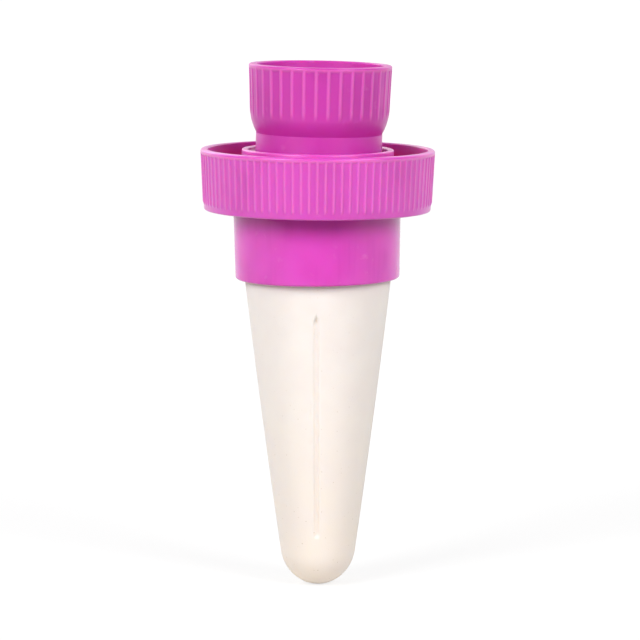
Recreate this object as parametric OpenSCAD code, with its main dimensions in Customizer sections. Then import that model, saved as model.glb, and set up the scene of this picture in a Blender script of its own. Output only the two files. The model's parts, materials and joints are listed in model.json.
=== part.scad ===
// Self watering spike: a porous ceramic cone that is pushed into potting soil, with a moulded
// collar bonded to its top. A ribbed ring screws into the collar and takes a wide bottle neck,
// and a ribbed socket screws into that ring and takes an ordinary drinks bottle.
// All sizes are in millimetres. The origin is the tip of the cone, on the axis, with +Z up.

/* [Ceramic cone] */
// Height from the tip to the lower edge of the collar
cone_exposed_h = 67.9; // [55:0.1:90]
// Outer radius of the cone at the lower edge of the collar
cone_mouth_r = 16.0; // [15:0.1:17.5]
// Greatest radius of the rounded tip
cone_tip_r = 8.25; // [6.5:0.05:10]
// Height from the tip's end to the middle of its rounding
cone_tip_h = 8.8; // [7:0.1:11]
// How far the side bows out beyond a straight line
cone_bow = 0.18; // [0:0.02:0.6]
// Wall thickness of the side
cone_wall = 3.2; // [2.6:0.1:4.2]
// Thickness of the floor inside the tip
cone_floor = 4.2; // [3:0.1:6]
// Length of the straight seat inside the collar
cone_seat_h = 7.8; // [6:0.1:10]
// How far the seat steps in from the side
cone_seat_step = 0.1; // [0.05:0.05:0.4]
// Bevel on the top rim
cone_rim_bevel = 0.5; // [0.2:0.1:1]

/* [Seam grooves] */
// Number of grooves down the side
groove_count = 2; // [1:1:4]
// Width of a groove at the surface
groove_w = 1.7; // [1:0.1:3]
// Depth of a groove
groove_depth = 0.45; // [0.2:0.05:1]
// Height of its lower end above the tip
groove_start = 11.0; // [10:0.5:20]
// Gap between its upper end and the collar
groove_end_gap = 6.2; // [3:0.1:12]
// Angle of the first groove from the front
groove_turn = -1.4; // [-10:0.1:10]

/* [Bond between cone and collar] */
// Thickness of the bond around the seat
bond_gap = 0.3; // [0.2:0.05:0.6]
// Thickness of the bond on the top rim
bond_bed = 0.6; // [0.3:0.1:1]
// How far the bond stays back from the lower edge of the collar
bond_setback = 0.9; // [0.3:0.1:2]

/* [Collar] */
// Wall thickness of the skirt
collar_wall = 1.75; // [1.5:0.05:2.4]
// How much wider the collar is at its top
collar_draft = 0.3; // [0:0.05:0.4]
// Rounding of the lower outside edge
collar_edge_r = 0.7; // [0.6:0.1:1.5]
// Thickness of the web between cone and ring
collar_web = 1.6; // [1.2:0.1:2.5]
// Wall thickness around the screwed socket
collar_socket_wall = 1.7; // [1.2:0.1:2]
// Depth of the recess under the ring that hides the collar's rim
rim_nest = 0.4; // [0.2:0.05:0.6]
// Gap between the collar's rim and the top of that recess
rim_nest_gap = 0.15; // [0.05:0.05:0.3]
// Side clearance between the collar's rim and that recess
rim_nest_side = 0.3; // [0.2:0.05:0.5]
// Radius of the water passage through web and floor
passage_r = 10.0; // [7:0.1:10.5]

/* [Bottle ring] */
// Inside radius at the rim, for a 48 mm bottle neck
wide_neck_r = 24.0; // [22:0.1:26]
// Wall thickness at the rim
ring_wall = 1.55; // [1.2:0.05:2]
// Height from underside to rim
ring_h = 13.3; // [11:0.1:16]
// How much narrower the outside is at its base
ring_draft = 0.65; // [0.2:0.05:0.8]
// How much narrower the inside is at its floor
ring_bore_draft = 0.3; // [0.1:0.05:0.6]
// Thickness of the floor
ring_floor = 1.8; // [1.2:0.1:2.4]
// Rounding of the lower outside edge
ring_edge_r = 0.4; // [0.4:0.1:2]
// Rounding of the corner inside
ring_corner_r = 0.5; // [0.2:0.1:1]
// Radial room for the thread between the inner ring and the socket's neck
neck_thread_gap = 1.5; // [1.2:0.05:2]
// Wall thickness of the inner ring
inner_ring_wall = 1.3; // [1:0.05:1.8]
// Length of the screwed spigot under the floor
spigot_len = 3.9; // [3.5:0.1:6]
// Wall thickness of the spigot
spigot_wall = 1.8; // [1.2:0.1:2]
// Radial room for the thread between spigot and collar
spigot_thread_gap = 1.2; // [1:0.05:1.4]
// Rounding of the rims
rim_round = 0.35; // [0.2:0.05:0.45]

/* [Ring ribs] */
// Number of ribs round the ring
ring_rib_count = 90; // [60:1:100]
// Width of a rib
ring_rib_w = 0.5; // [0.4:0.05:0.8]
// Height of a rib
ring_rib_h = 0.3; // [0.2:0.05:0.4]
// Height of the plain band at the rim
ring_band_h = 0.75; // [0.5:0.05:1.5]
// Height of the plain band between the rounded edge and the ribs
ring_base_h = 1.1; // [0.1:0.1:1.5]

/* [Bottle socket] */
// Outside radius of the neck
neck_r = 13.75; // [13.2:0.05:14]
// Wall thickness of the neck
neck_wall = 1.55; // [1.2:0.05:2]
// Length of the neck's bore
neck_bore_len = 14.7; // [13:0.1:18]
// Inside radius of the socket, for a 28 mm bottle neck
socket_r = 13.9; // [13.7:0.05:14.2]
// Wall thickness of the socket at its rim
socket_wall = 1.7; // [1.4:0.05:2.2]
// Depth of the socket above its washer seat
socket_depth = 11.1; // [10:0.1:14]
// How much narrower the outside is at the foot of its straight side
socket_draft = 0.35; // [0.1:0.05:0.5]
// Height of the curl between neck and straight side
curl_h = 6.3; // [4:0.1:8]
// How full the curl is: 2 is a parabola, and more is rounder at its lower end
curl_fullness = 2.2; // [1.6:0.1:3]
// Height of the curl's lower end below the web
curl_drop = 0.6; // [0.3:0.1:1.5]
// Thickness of the web under the bottle
socket_web = 1.6; // [1.2:0.1:2.4]
// Radius of the hole in that web
socket_hole_r = 9.0; // [6:0.1:10]
// Lead-in bevel at the socket's mouth
socket_lead = 0.5; // [0.2:0.1:0.8]

/* [Socket ribs] */
// Number of ribs round the socket
socket_rib_count = 36; // [24:1:48]
// Width of a rib
socket_rib_w = 0.85; // [0.6:0.05:1.2]
// Height of a rib
socket_rib_h = 0.3; // [0.2:0.05:0.4]
// Height of the plain band at the rim
socket_band_h = 0.8; // [0.5:0.05:1.5]
// Height of the ribs above the web's top
socket_rib_rise = 1.6; // [1.2:0.1:3]
// Angle of the first rib from the front
socket_rib_turn = -3.2; // [-5:0.1:5]

/* [Seals] */
// Thickness of the gaskets in the two screwed joints
gasket_t = 1.0; // [0.8:0.1:1.6]
// Length of the lip that holds a gasket in its pipe
gasket_lip_h = 2.0; // [1:0.1:2.5]
// Thickness of that lip
gasket_lip_t = 0.9; // [0.6:0.1:1.2]
// Thickness of the washer in the ring
wide_washer_t = 1.5; // [1:0.1:2.5]
// Depth of the washer seat in the socket
washer_seat_h = 1.5; // [1.2:0.1:2]
// Width of the ledge that stands out round that seat
washer_ledge = 0.6; // [0.3:0.1:0.8]
// How far the socket's washer lies below its ledge
washer_recess = 0.1; // [0.05:0.05:0.3]
// Side clearance of a washer or gasket in its place
seal_gap = 0.15; // [0.05:0.05:0.3]
// How far a seal stays back from the water passage
seal_setback = 0.6; // [0.3:0.1:1]

/* [Hidden] */
$fn = 96;

ceramic_colour = "#F3E9E3";
plastic_colour = "#D84BB6";
sealant_colour = "#E9E4DC";
seal_colour = "#CFCFCB";

// Points along each rounded stretch of an outline
arc_count = 8;
// How far ribs reach into the wall and the band that carry them
rib_root = 0.25;
// How far the ribs stay back from the face of the plain band
rib_step = 0.04;
// Bevel on small hidden edges
edge_bevel = 0.3;
// Largest share of a wall that a rounding may take
round_share = 0.9;

// Heights, from the tip upwards
collar_z = cone_exposed_h;
cone_top_z = collar_z + cone_seat_h;
web_z = cone_top_z + bond_bed;
web_top_z = web_z + collar_web;
spigot_z = web_top_z + gasket_t;
ring_z = spigot_z + spigot_len;
nest_z = ring_z + rim_nest;
collar_top_z = nest_z - rim_nest_gap;
floor_z = ring_z + ring_floor;
ring_rim_z = ring_z + ring_h;
neck_z = floor_z + gasket_t;
socket_web_z = neck_z + neck_bore_len;
curl_z = socket_web_z - curl_drop;
curl_top_z = curl_z + curl_h;
washer_z = socket_web_z + socket_web;
socket_floor_z = washer_z + washer_seat_h;
top_z = socket_floor_z + socket_depth;

// Radii, from the axis outwards
seat_r = cone_mouth_r - cone_seat_step;
skirt_bore_r = seat_r + bond_gap;
collar_r = skirt_bore_r + collar_wall;
collar_top_r = collar_r + collar_draft;
collar_socket_r = collar_top_r - collar_socket_wall;
spigot_r = collar_socket_r - spigot_thread_gap;
spigot_bore_r = spigot_r - spigot_wall;
nest_r = collar_top_r + rim_nest_side;
inner_ring_r = neck_r + neck_thread_gap;
inner_ring_out_r = inner_ring_r + inner_ring_wall;
ring_bore_foot_r = wide_neck_r - ring_bore_draft;
ring_rim_r = wide_neck_r + ring_wall;
neck_bore_r = neck_r - neck_wall;
socket_rim_r = socket_r + socket_wall;
curl_top_r = socket_rim_r - socket_draft;
washer_seat_r = socket_r - washer_ledge;

// Where the rounded tip runs into the side: the slopes of both agree there
side_slope = (cone_mouth_r - cone_tip_r) / (cone_exposed_h - cone_tip_h);
tip_end = atan(side_slope * cone_tip_h / cone_tip_r);
tip_end_r = cone_tip_r * cos(tip_end);
tip_end_z = cone_tip_h * (1 - sin(tip_end));

// Points on a round arc about [r, z], from angle a to angle b
function arc(r, z, radius, a, b, steps = arc_count) =
    [for (i = [0:steps]) let (t = a + (b - a) * i / steps) [r + radius * cos(t), z + radius * sin(t)]];

// Radius of the cone's side at a height, with its bow
function side_r(z) =
    let (t = (z - tip_end_z) / (collar_z - tip_end_z))
    tip_end_r + (cone_mouth_r - tip_end_r) * t + 4 * cone_bow * t * (1 - t);

// Outside radius of the ring's plain band, carried on down, at a height
function ring_crest_r(z) = ring_rim_r - ring_draft * (ring_rim_z - z) / ring_h;

// Outside radius of the ring between its ribs at a height
function ring_wall_r(z) = ring_crest_r(z) - ring_rib_h;

// Outside radius of the socket's plain band, carried on down through the curl, at a height
function socket_crest_r(z) =
    z < curl_top_z
        ? curl_top_r - (curl_top_r - neck_r) * pow((curl_top_z - z) / curl_h, curl_fullness)
        : curl_top_r + socket_draft * (z - curl_top_z) / (top_z - curl_top_z);

// A solid of revolution from an outline of [radius, height] points
module turned(outline) rotate_extrude($fn = 180) polygon(outline);

// A flat ring
module flat_ring(inner, outer, z, h)
    turned([[inner, z], [outer, z], [outer, z + h], [inner, z + h]]);

// A seal with a flat flange under the end of a pipe and a lip that fits inside the pipe
module lipped_seal(z, inner, flange_r, pipe_bore_r) {
    lip_r = pipe_bore_r - seal_gap;
    turned([
        [inner, z], [flange_r, z], [flange_r, z + gasket_t], [lip_r, z + gasket_t],
        [lip_r, z + gasket_t + gasket_lip_h - edge_bevel],
        [lip_r - edge_bevel, z + gasket_t + gasket_lip_h],
        [lip_r - gasket_lip_t, z + gasket_t + gasket_lip_h],
        [lip_r - gasket_lip_t, z + gasket_t], [inner, z + gasket_t]
    ]);
}

// Ribs round the axis, each cut from a side outline of [radius, height] points
module ribs(count, width, first, outline)
    for (i = [0:count - 1])
        rotate([0, 0, first - 90 + 360 * i / count])
            rotate([90, 0, 0]) linear_extrude(width, center = true) polygon(outline);

// Outline of the cone's outside, from the tip up to the rim
cone_outline = concat(
    [for (i = [0:arc_count * 2])
        let (t = 90 - (90 - tip_end) * i / (arc_count * 2))
        [cone_tip_r * cos(t), cone_tip_h * (1 - sin(t))]],
    [for (i = [1:arc_count]) let (z = tip_end_z + (collar_z - tip_end_z) * i / arc_count) [side_r(z), z]],
    [
        [seat_r, collar_z + cone_seat_step], [seat_r, cone_top_z - cone_rim_bevel],
        [seat_r - cone_rim_bevel, cone_top_z], [0, cone_top_z]
    ]
);

// Outline of the water space inside the cone, open at the top
cavity_tip_r = cone_tip_r - cone_wall;
cavity_mouth_r = seat_r - cone_wall;
cavity_slope = atan((cavity_mouth_r - cavity_tip_r) / (collar_z - cone_tip_h));
cavity_outline = concat(
    arc(0, cone_floor + cavity_tip_r, cavity_tip_r, -90, -cavity_slope, arc_count),
    [
        [cavity_mouth_r, collar_z], [cavity_mouth_r, cone_top_z - edge_bevel],
        [cavity_mouth_r + edge_bevel + bond_bed, cone_top_z + bond_bed], [0, cone_top_z + bond_bed]
    ]
);

// One straight V groove in the side, cut a little deeper at mid height where the side bows out
module seam_groove() {
    low = groove_start;
    high = collar_z - groove_end_gap;
    run = side_r(high) - side_r(low);
    clear = groove_w;
    translate([0, -side_r(low), low])
        rotate([atan(run / (high - low)), 0, 0])
            linear_extrude(norm([run, high - low]))
                polygon([
                    [-groove_w / 2, 0], [-groove_w / 2, -clear], [groove_w / 2, -clear],
                    [groove_w / 2, 0], [0, groove_depth]
                ]);
}

module ceramic_cone()
    color(ceramic_colour)
        difference() {
            turned(cone_outline);
            turned(cavity_outline);
            for (i = [0:groove_count - 1])
                rotate([0, 0, groove_turn + 360 * i / groove_count]) seam_groove();
        }

// The bond fills the gap round the seat and lies on the cone's rim
module cone_sealant()
    color(sealant_colour)
        turned([
            [seat_r, collar_z + bond_setback], [skirt_bore_r, collar_z + bond_setback],
            [skirt_bore_r, web_z], [cavity_mouth_r + cone_rim_bevel + edge_bevel, web_z],
            [cavity_mouth_r + cone_rim_bevel + edge_bevel, cone_top_z],
            [seat_r - cone_rim_bevel, cone_top_z], [seat_r, cone_top_z - cone_rim_bevel]
        ]);

// Rounding of the collar's lower edge, as far as its wall has room for it
collar_edge = min(collar_edge_r, round_share * (collar_wall - edge_bevel));

// The collar holds the cone in its skirt and the ring's spigot in its upper socket
module cone_collar()
    color(plastic_colour)
        turned(concat(
            [[skirt_bore_r, collar_z + edge_bevel], [skirt_bore_r + edge_bevel, collar_z]],
            arc(collar_r - collar_edge, collar_z + collar_edge, collar_edge, -90, 0),
            [
                [collar_top_r, collar_top_z], [collar_socket_r + edge_bevel, collar_top_z],
                [collar_socket_r, collar_top_z - edge_bevel], [collar_socket_r, web_top_z],
                [passage_r, web_top_z], [passage_r, web_z], [skirt_bore_r, web_z]
            ]
        ));

module collar_gasket()
    color(seal_colour)
        lipped_seal(web_top_z, passage_r + seal_setback, spigot_r, spigot_bore_r);

// Outline of the ring: spigot, recess for the collar's rim, outer wall without its ribs, and inner ring
ring_base_z = ring_z + ring_edge_r + ring_base_h;
ring_band_z = ring_rim_z - ring_band_h;
ring_outline = concat(
    [
        [passage_r, ring_z], [spigot_bore_r, ring_z], [spigot_bore_r, spigot_z],
        [spigot_r - edge_bevel, spigot_z], [spigot_r, spigot_z + edge_bevel], [spigot_r, nest_z],
        [nest_r, nest_z], [nest_r, ring_z]
    ],
    arc(ring_wall_r(ring_z + ring_edge_r) - ring_edge_r, ring_z + ring_edge_r, ring_edge_r, -90, 0),
    [[ring_wall_r(ring_band_z), ring_band_z], [ring_crest_r(ring_band_z), ring_band_z]],
    arc(ring_rim_r - rim_round, ring_rim_z - rim_round, rim_round, 0, 90, 4),
    arc(wide_neck_r + rim_round, ring_rim_z - rim_round, rim_round, 90, 180, 4),
    arc(ring_bore_foot_r - ring_corner_r, floor_z + ring_corner_r, ring_corner_r, 0, -90, 4),
    [[inner_ring_out_r, floor_z]],
    arc(inner_ring_out_r - rim_round, ring_rim_z - rim_round, rim_round, 0, 90, 4),
    arc(inner_ring_r + rim_round, ring_rim_z - rim_round, rim_round, 90, 180, 4),
    [[inner_ring_r, floor_z], [passage_r, floor_z]]
);

// Side outline of one rib of the ring, rounded off at its lower end
ring_rib_stand = ring_rib_h - rib_step;
ring_rib_outline = concat(
    [[ring_wall_r(ring_base_z) - rib_root, ring_base_z]],
    arc(ring_wall_r(ring_base_z), ring_base_z + ring_rib_stand, ring_rib_stand, -90, 0, 4),
    [
        [ring_crest_r(ring_band_z) - rib_step, ring_band_z + rib_root],
        [ring_wall_r(ring_band_z) - rib_root, ring_band_z + rib_root]
    ]
);

module bottle_ring()
    color(plastic_colour)
        union() {
            turned(ring_outline);
            ribs(ring_rib_count, ring_rib_w, 0, ring_rib_outline);
        }

module wide_bottle_washer()
    color(seal_colour)
        flat_ring(
            inner_ring_out_r + seal_gap, ring_bore_foot_r - ring_corner_r - seal_gap, floor_z, wide_washer_t
        );

module adaptor_gasket()
    color(seal_colour)
        lipped_seal(floor_z, passage_r + seal_setback, neck_r, neck_bore_r);

// Outline of the socket without its ribs: neck, curl, ribbed side, rim, bore, washer seat and web
socket_rib_z = washer_z + socket_rib_rise;
socket_band_z = top_z - socket_band_h;
socket_outline = concat(
    [[neck_bore_r, neck_z], [neck_r - edge_bevel, neck_z], [neck_r, neck_z + edge_bevel]],
    [for (i = [0:arc_count]) let (z = curl_z + (socket_rib_z - curl_z) * i / arc_count)
        [socket_crest_r(z), z]],
    [for (i = [1:4]) let (z = socket_rib_z + (curl_top_z - socket_rib_z) * i / 4)
        [socket_crest_r(z) - socket_rib_h, z]],
    [
        [socket_crest_r(socket_band_z) - socket_rib_h, socket_band_z],
        [socket_crest_r(socket_band_z), socket_band_z]
    ],
    arc(socket_rim_r - rim_round, top_z - rim_round, rim_round, 0, 90, 4),
    [
        [socket_r + socket_lead, top_z], [socket_r, top_z - socket_lead], [socket_r, socket_floor_z],
        [washer_seat_r, socket_floor_z], [washer_seat_r, washer_z], [socket_hole_r, washer_z],
        [socket_hole_r, socket_web_z], [neck_bore_r, socket_web_z]
    ]
);

// Side outline of one rib of the socket, which follows the curl and fades into it
socket_rib_low = socket_rib_z - rib_root;
socket_rib_outline = concat(
    [for (i = [0:5]) let (z = socket_rib_low + (curl_top_z - socket_rib_low) * i / 5)
        [socket_crest_r(z) - rib_step, z]],
    [
        [socket_crest_r(socket_band_z) - rib_step, socket_band_z + rib_root],
        [socket_crest_r(socket_band_z) - socket_rib_h - rib_root, socket_band_z + rib_root],
        [socket_crest_r(curl_top_z) - socket_rib_h - rib_root, curl_top_z],
        [socket_crest_r(socket_rib_low) - socket_rib_h - rib_root, socket_rib_low]
    ]
);

module bottle_socket()
    color(plastic_colour)
        union() {
            turned(socket_outline);
            ribs(socket_rib_count, socket_rib_w, socket_rib_turn, socket_rib_outline);
        }

module socket_washer()
    color(seal_colour)
        flat_ring(
            socket_hole_r + seal_setback, washer_seat_r - seal_gap, washer_z, washer_seat_h - washer_recess
        );

ceramic_cone();
cone_sealant();
cone_collar();
collar_gasket();
bottle_ring();
wide_bottle_washer();
adaptor_gasket();
bottle_socket();
socket_washer();
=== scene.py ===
"""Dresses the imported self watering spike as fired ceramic, moulded plastic and rubber seals.

Every visible piece is turned about the spike's axis from an outline in millimetres, with its ribs,
screw threads and seam grooves raised or sunk in the turned surface. Heights and outside radii are
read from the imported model, thread pitches from its coupled joints and the bottle bore from its
mount, so each dressed piece lies where its plain solid lies. The spike stands on its tip on a pale
floor under soft studio light, seen from where the photograph was taken.
"""

from __future__ import annotations

import json
import logging
import math
from collections.abc import Callable, Sequence
from dataclasses import dataclass, field, replace
from enum import Enum
from functools import partial
from typing import Any, Protocol

import bpy
import numpy as np
from mathutils import Matrix, Vector

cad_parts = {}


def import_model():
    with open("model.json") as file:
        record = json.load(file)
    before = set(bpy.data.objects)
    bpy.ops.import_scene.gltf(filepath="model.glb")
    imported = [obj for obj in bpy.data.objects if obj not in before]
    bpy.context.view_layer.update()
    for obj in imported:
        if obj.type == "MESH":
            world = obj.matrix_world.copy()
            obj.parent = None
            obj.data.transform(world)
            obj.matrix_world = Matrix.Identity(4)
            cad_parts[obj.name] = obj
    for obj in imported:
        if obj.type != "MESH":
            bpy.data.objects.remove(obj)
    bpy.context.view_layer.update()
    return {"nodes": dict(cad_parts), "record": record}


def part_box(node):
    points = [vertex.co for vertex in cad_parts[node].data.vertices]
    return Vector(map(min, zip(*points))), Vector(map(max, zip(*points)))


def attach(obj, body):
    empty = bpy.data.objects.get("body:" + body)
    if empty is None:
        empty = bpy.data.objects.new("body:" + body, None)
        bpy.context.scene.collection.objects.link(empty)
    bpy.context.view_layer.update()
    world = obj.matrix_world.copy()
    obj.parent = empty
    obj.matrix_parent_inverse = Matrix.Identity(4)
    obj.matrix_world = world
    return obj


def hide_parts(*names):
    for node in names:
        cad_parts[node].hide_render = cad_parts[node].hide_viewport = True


LOG = logging.getLogger("spike")

# Metres in a millimetre
MM = 0.001
# The mesh attribute that holds how far a point stands up on a rib, from 0 to 1, which also sets the
# ribs' painted highlight
CREST = "crest"
# The mesh attribute that holds how deep a point lies in a hollow, from 0 to 1, which also sets the
# hollow's painted glow
HOLLOW = "hollow"
# Edges that turn by more than this are drawn sharp
SHARP_ANGLE = math.radians(38.0)
# The direction of the photograph's viewer about the axis, in degrees
FRONT_DEG = -90.0
# Columns closer together than this, in radians, become one
NEAR_ANGLE = 1e-4
# A row of points within this radius, in millimetres, closes in a single point
POLE_RADIUS = 1e-6
# Numbers of a colour Mix node's factor, lower colour, upper colour and result
FACTOR, UNDER, OVER, MIXED = 0, 6, 7, 2
# Widths of a joint thread's foot and crest, as shares of its pitch
RING_THREAD_FOOT, SOCKET_THREAD_FOOT, THREAD_CREST = 0.42, 0.4, 0.16

Point = tuple[float, float]
Pair = tuple[float, float]
Triple = tuple[float, float, float]
# Adds a node to one tree
Adder = Callable[..., bpy.types.NodeSocket]


class Slot(Enum):
    """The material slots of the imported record."""

    CERAMIC = "fired_ceramic"
    PLASTIC = "moulded_polypropylene"
    SEAL = "silicone_seal"
    SEALANT = "sealant"


class Look(Enum):
    """The finishes, each with the record's slot that it stands for."""

    BISQUE = ("bisque", Slot.CERAMIC)
    COLLAR_PLASTIC = ("collar_plastic", Slot.PLASTIC)
    RING_PLASTIC = ("ring_plastic", Slot.PLASTIC)
    SOCKET_PLASTIC = ("socket_plastic", Slot.PLASTIC)
    SILICONE = ("silicone", Slot.SEAL)
    BOND = ("bond", Slot.SEALANT)


class Hand(Enum):
    """Whether a thread stands out of its wall or inward from it."""

    OUTWARD = 1.0
    INWARD = -1.0


def linear(colour: str) -> tuple[float, float, float, float]:
    """Turns an sRGB hex colour into linear light.

    Args:
        colour: Six hex digits after a hash sign.

    Returns:
        Linear red, green and blue, and an alpha of 1.
    """
    parts = [int(colour[i : i + 2], 16) / 255 for i in (1, 3, 5)]
    red, green, blue = (p / 12.92 if p <= 0.04045 else ((p + 0.055) / 1.055) ** 2.4 for p in parts)
    return red, green, blue, 1.0


def smooth(low: float, high: float, value: np.ndarray | float) -> np.ndarray | float:
    """Rises smoothly from 0 at low to 1 at high.

    Args:
        low: Where the rise starts.
        high: Where it ends.
        value: The values to look up.

    Returns:
        Values from 0 to 1.
    """
    t = np.clip((value - low) / (high - low), 0.0, 1.0)
    return t * t * (3.0 - 2.0 * t)


def arc(centre: Point, radius: float, start: float, end: float, steps: int) -> list[Point]:
    """Makes points on a round arc.

    Args:
        centre: Radius and height of the arc's centre.
        radius: The arc's radius.
        start: Angle of the first point in degrees.
        end: Angle of the last point in degrees.
        steps: How many chords the arc has.

    Returns:
        Points of radius and height.
    """
    angles = [math.radians(start + (end - start) * i / steps) for i in range(steps + 1)]
    return [(centre[0] + radius * math.cos(a), centre[1] + radius * math.sin(a)) for a in angles]


def run(start: Point, end: Point, step: float) -> list[Point]:
    """Makes evenly spaced points along a straight line.

    Args:
        start: First point, as radius and height.
        end: Last point.
        step: Largest distance between two points.

    Returns:
        Points of radius and height, both ends included.
    """
    count = max(1, math.ceil(math.dist(start, end) / step))
    share = [i / count for i in range(count + 1)]
    return [(start[0] + (end[0] - start[0]) * s, start[1] + (end[1] - start[1]) * s) for s in share]


def from_nearest(angle: np.ndarray, first: float, count: int) -> np.ndarray:
    """Measures each angle from the nearest of several evenly spaced ones.

    Args:
        angle: Angles about the axis in radians.
        first: The first of the evenly spaced angles.
        count: How many of them go once round.

    Returns:
        Signed angles in radians.
    """
    pitch = math.tau / count
    return (angle - first + pitch / 2) % pitch - pitch / 2


class Relief(Protocol):
    """What stands out of a turned surface, or is sunk into it."""

    def __call__(self, angle: np.ndarray, z: np.ndarray) -> np.ndarray:
        """Gives the outward shift in millimetres at each angle and height."""


@dataclass(frozen=True)
class Ribs:
    """Upright grip ribs below a plain band, all in millimetres.

    The wall between the ribs is the turned outline, and the band stands as far out as the ribs. The
    ribs' start is counted from the wall's foot and the band from its top, until they are placed.
    """

    count: int
    height: float
    crest: float
    foot: float
    low: float
    band: float
    rise: float
    lip: float
    first: float
    radius: float = 1.0
    # How many steps of the mesh go up a rib's flank
    flank_steps: int = 4
    # How many rows lie below the ribs, on their rise, along them, on the band's lip and above it
    row_counts: tuple[int, ...] = (3, 12, 8, 12, 3)

    def on(self, radius: float, foot: float, top: float) -> Ribs:
        """Places the ribs on a wall.

        Args:
            radius: The wall's outside radius.
            foot: Height of its foot.
            top: Height of its top.

        Returns:
            The same ribs there.
        """
        return replace(self, radius=radius, low=foot + self.low, band=top - self.band)

    def __call__(self, angle: np.ndarray, z: np.ndarray) -> np.ndarray:
        """Gives the height of the ribs and the band.

        Args:
            angle: Angles about the axis in radians.
            z: Heights in millimetres.

        Returns:
            Outward shift in millimetres.
        """
        away = np.abs(from_nearest(angle, self.first, self.count)) * self.radius
        rib = 1.0 - smooth(self.crest / 2, self.foot / 2, away)
        rib = rib * smooth(self.low, self.low + self.rise, z)
        band = smooth(self.band - self.lip, self.band + self.lip, z)
        return self.height * np.maximum(rib, band)

    def columns(self, plain: int) -> np.ndarray:
        """Places mesh columns close together on each rib's flanks and wide apart between ribs.

        Args:
            plain: How many columns lie between two ribs.

        Returns:
            Angles in radians.
        """
        pitch = math.tau / self.count
        flank = (self.foot - self.crest) / 2
        steps = range(self.flank_steps + 1)
        half = [self.crest / 4, *(self.crest / 2 + flank * i / self.flank_steps for i in steps)]
        offsets = [0.0, *(sign * h / self.radius for h in half for sign in (-1.0, 1.0))]
        gap = self.foot / 2 / self.radius
        offsets += [gap + (pitch - 2 * gap) * (i + 1) / (plain + 1) for i in range(plain)]
        middles = [self.first + pitch * i for i in range(self.count)]
        return np.array([middle + o for middle in middles for o in sorted(offsets)])

    def rows(self, start: float, end: float) -> list[float]:
        """Places mesh rows close together where the ribs fade in and where they join the band.

        Args:
            start: Height of the first row, below the ribs' start.
            end: Height of the last row, within the band.

        Returns:
            Heights in millimetres.
        """
        lips = (self.band - self.lip, self.band + self.lip)
        stops = [start, self.low, self.low + self.rise, *lips, end]
        rows = [start]
        for low, high, count in zip(stops, stops[1:], self.row_counts):
            rows += [low + (high - low) * (i + 1) / count for i in range(count)]
        return rows


@dataclass(frozen=True)
class ThreadForm:
    """A screw thread's pitch and the widths of its ridge's foot and crest, in millimetres."""

    pitch: float
    foot: float
    crest: float


@dataclass(frozen=True)
class Thread:
    """One right-handed screw ridge with a flat crest and soft run-outs, in millimetres.

    Its start is counted from the wall's foot, and it has no form, until it is placed.
    """

    hand: Hand
    depth: float
    start: float
    turns: float
    first: float = 0.0
    form: ThreadForm | None = None
    fade_turns: float = 0.12

    def on(self, foot: float, form: ThreadForm) -> Thread:
        """Places the thread on a wall.

        Args:
            foot: Height of the wall's foot.
            form: The thread's pitch and widths.

        Returns:
            The same thread there.
        """
        return replace(self, start=foot + self.start, form=form)

    def __call__(self, angle: np.ndarray, z: np.ndarray) -> np.ndarray:
        """Gives the ridge's height, inward or outward.

        Args:
            angle: Angles about the axis in radians.
            z: Heights in millimetres.

        Returns:
            Outward shift in millimetres.
        """
        form = self.form
        share = ((angle - self.first) / math.tau) % 1.0
        coil = np.round((z - self.start) / form.pitch - share)
        turned = coil + share
        away = np.abs(z - self.start - form.pitch * turned)
        ridge = 1.0 - np.clip((away - form.crest / 2) / ((form.foot - form.crest) / 2), 0.0, 1.0)
        fade = smooth(0.0, self.fade_turns, turned)
        fade = fade * smooth(0.0, self.fade_turns, self.turns - turned)
        return self.hand.value * self.depth * ridge * fade


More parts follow.
